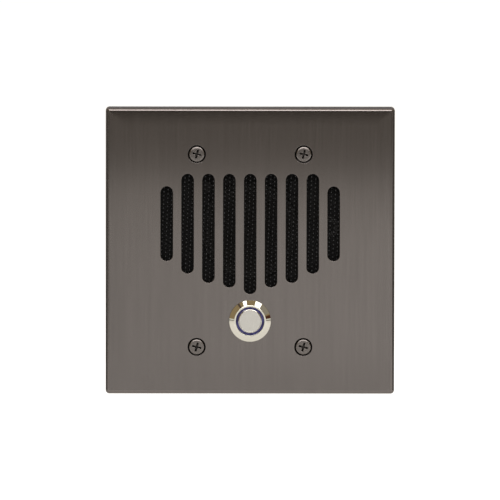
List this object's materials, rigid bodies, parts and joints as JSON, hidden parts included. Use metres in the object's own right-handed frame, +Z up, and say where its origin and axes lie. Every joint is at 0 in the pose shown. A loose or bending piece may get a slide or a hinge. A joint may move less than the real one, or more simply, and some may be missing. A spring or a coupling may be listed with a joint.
{
  "type": "door intercom speaker",
  "caption": "Flush wall-mounted door station: square metal plate with upright sound slots over a loudspeaker and a microphone, and a ring-lit push button below.",
  "frame": {"origin": "centre of the four wall-box screws, on the wall's surface", "axes": "+X to the right as seen from the front, +Y into the wall, +Z up"},
  "size_m": [0.1246, 0.04, 0.124],
  "materials": {
    "faceplate_metal": "dark warm grey nickel plating with a fine upright brushed grain",
    "screw_metal": "bright plated steel with light scratches around the cross recess",
    "mesh_metal": "black painted woven wire",
    "bezel_metal": "polished nickel-plated brass",
    "cap_metal": "fine satin plated steel",
    "ring_plastic": "translucent light ring, dark indigo when unlit",
    "seal_foam": "closed-cell foam",
    "seal_rubber": "soft rubber",
    "zinc_metal": "bright zinc plating",
    "brass_metal": "plain turned brass",
    "baffle_plastic": "moulded plastic with a fine texture",
    "board_laminate": "green solder-mask laminate",
    "terminal_plastic": "moulded polyamide",
    "chip_plastic": "moulded epoxy",
    "can_sleeve": "shrunk sleeve on an aluminium can",
    "resistor_coat": "painted ceramic rod with coloured bands",
    "trimmer_plastic": "moulded plastic",
    "rotor_plastic": "moulded plastic",
    "basket_steel": "black coated pressed steel",
    "yoke_steel": "zinc-plated mild steel",
    "magnet_ferrite": "sintered ferrite",
    "cone_paper": "pressed paper pulp",
    "spider_cloth": "resin-stiffened cotton",
    "coil_wire": "enamelled copper winding",
    "former_paper": "wound paper tube",
    "tag_laminate": "bonded paper laminate",
    "switch_plastic": "moulded plastic",
    "lamp_plastic": "clear encapsulated lamp",
    "contact_metal": "silver-plated brass",
    "capsule_metal": "drawn aluminium",
    "wire_red": "insulated wire",
    "wire_black": "insulated wire",
    "wire_white": "insulated wire",
    "spring_steel": "bright spring wire"
  },
  "bodies": {
    "root": {"faceplate": "faceplate_metal", "faceplate_screws": "screw_metal", "wall_gasket": "seal_foam", "weld_studs": "zinc_metal", "grille_mesh": "mesh_metal", "baffle_gasket": "seal_foam", "speaker_baffle": "baffle_plastic", "stud_washers": "zinc_metal", "board_standoffs": "brass_metal", "board_screws": "zinc_metal", "speaker_gasket": "seal_foam", "cone_surround": "seal_rubber", "speaker_basket": "basket_steel", "speaker_screws": "zinc_metal", "spider": "spider_cloth", "top_plate": "yoke_steel", "speaker_magnet": "magnet_ferrite", "yoke": "yoke_steel", "tag_board": "tag_laminate", "solder_tags": "contact_metal", "microphone_boot": "seal_rubber", "microphone": "capsule_metal", "button_gasket": "seal_rubber", "button_housing": "bezel_metal", "lock_washer": "zinc_metal", "lock_nut": "bezel_metal", "light_ring": "ring_plastic", "return_spring": "spring_steel", "spring_seat": "switch_plastic", "switch_base": "switch_plastic", "fixed_contacts": "contact_metal", "led_board": "board_laminate", "leds": "lamp_plastic", "led_pins": "contact_metal", "circuit_board": "board_laminate", "terminal_block": "terminal_plastic", "terminal_screws": "zinc_metal", "terminal_clamps": "zinc_metal", "terminal_pins": "contact_metal", "amplifier_chip": "chip_plastic", "capacitors": "can_sleeve", "resistors": "resistor_coat", "volume_trimmer": "trimmer_plastic", "contact_leads": "wire_red", "led_leads": "wire_white", "speaker_leads": "wire_black", "tinsel_leads": "coil_wire", "microphone_leads": "wire_white"},
    "button": {"button_cap": "cap_metal", "plunger": "switch_plastic", "moving_contact": "contact_metal"},
    "cone": {"speaker_cone": "cone_paper", "dust_cap": "cone_paper", "voice_coil_former": "former_paper", "voice_coil": "coil_wire"},
    "rotor": {"trimmer_rotor": "rotor_plastic"}
  },
  "joints": [
    {"name": "button_press", "type": "slide", "parent": "root", "child": "button", "axis": [0, 1, 0], "range_m": [0, 0.002], "stiffness_N_per_m": 750, "springref_m": -0.002, "deforming": ["return_spring"]},
    {"name": "cone_travel", "type": "slide", "parent": "root", "child": "cone", "axis": [0, 1, 0], "range_m": [-0.0005, 0.0005], "stiffness_N_per_m": 3500, "deforming": ["cone_surround", "spider", "tinsel_leads"]},
    {"name": "volume_turn", "type": "hinge", "parent": "root", "child": "rotor", "pos_m": [-0.033, 0.0247, 0.0135], "axis": [0, 1, 0], "range_deg": [-135, 135]}
  ]
}
